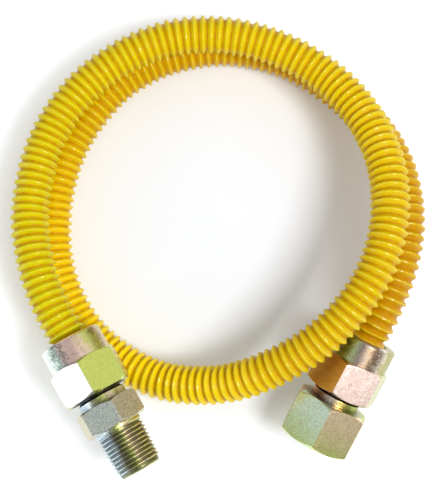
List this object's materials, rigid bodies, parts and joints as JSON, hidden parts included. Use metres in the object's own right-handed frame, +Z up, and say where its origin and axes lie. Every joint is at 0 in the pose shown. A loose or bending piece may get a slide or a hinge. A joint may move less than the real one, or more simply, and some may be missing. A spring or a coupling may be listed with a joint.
{
  "type": "flexible gas hose",
  "caption": "Coated corrugated metal gas hose lying in a loose coil, with a flare nut and a pipe-thread adapter on each end, one male and one female.",
  "frame": {"origin": "on the floor, midway between the outer extents of the four end fittings", "axes": "+X from the male end to the female end, +Y from the ends to the coil, +Z up from the floor that the coil lies on"},
  "size_m": [0.1783, 0.2021, 0.0576],
  "materials": {
    "yellow_coating": "glossy bonded polymer coating, golden yellow",
    "nut_zinc": "turned steel, zinc plated with an iridescent yellow-green passivation",
    "adapter_zinc": "turned steel, zinc plated with an iridescent olive and grey-green passivation"
  },
  "bodies": {
    "hose": {"hose_tube": "yellow_coating"},
    "male_nut": {"male_end_nut": "nut_zinc"},
    "male_fitting": {"male_adapter": "adapter_zinc"},
    "female_nut": {"female_end_nut": "nut_zinc"},
    "female_fitting": {"female_adapter": "adapter_zinc"}
  },
  "joints": [
    {"name": "male_nut_turn", "type": "hinge", "parent": "hose", "child": "male_nut", "pos_m": [-0.0638, 0.0261, 0.0319], "axis": [-0.4939, 0.8695, 0], "range_deg": [0, 2250]},
    {"name": "male_adapter_travel", "type": "slide", "parent": "hose", "child": "male_fitting", "axis": [0.4939, -0.8695, 0], "range_m": [0, 0.00993]},
    {"name": "female_nut_turn", "type": "hinge", "parent": "hose", "child": "female_nut", "pos_m": [0.0634, 0.0267, 0.0281], "axis": [0.4499, 0.8643, 0.225], "range_deg": [0, 2250]},
    {"name": "female_adapter_travel", "type": "slide", "parent": "hose", "child": "female_fitting", "axis": [-0.4499, -0.8643, -0.225], "range_m": [0, 0.00993]}
  ],
  "couplings": [
    {"joint": "male_adapter_travel", "follows": "male_nut_turn", "m_per_rad": 0.00025266},
    {"joint": "female_adapter_travel", "follows": "female_nut_turn", "m_per_rad": 0.00025266}
  ]
}
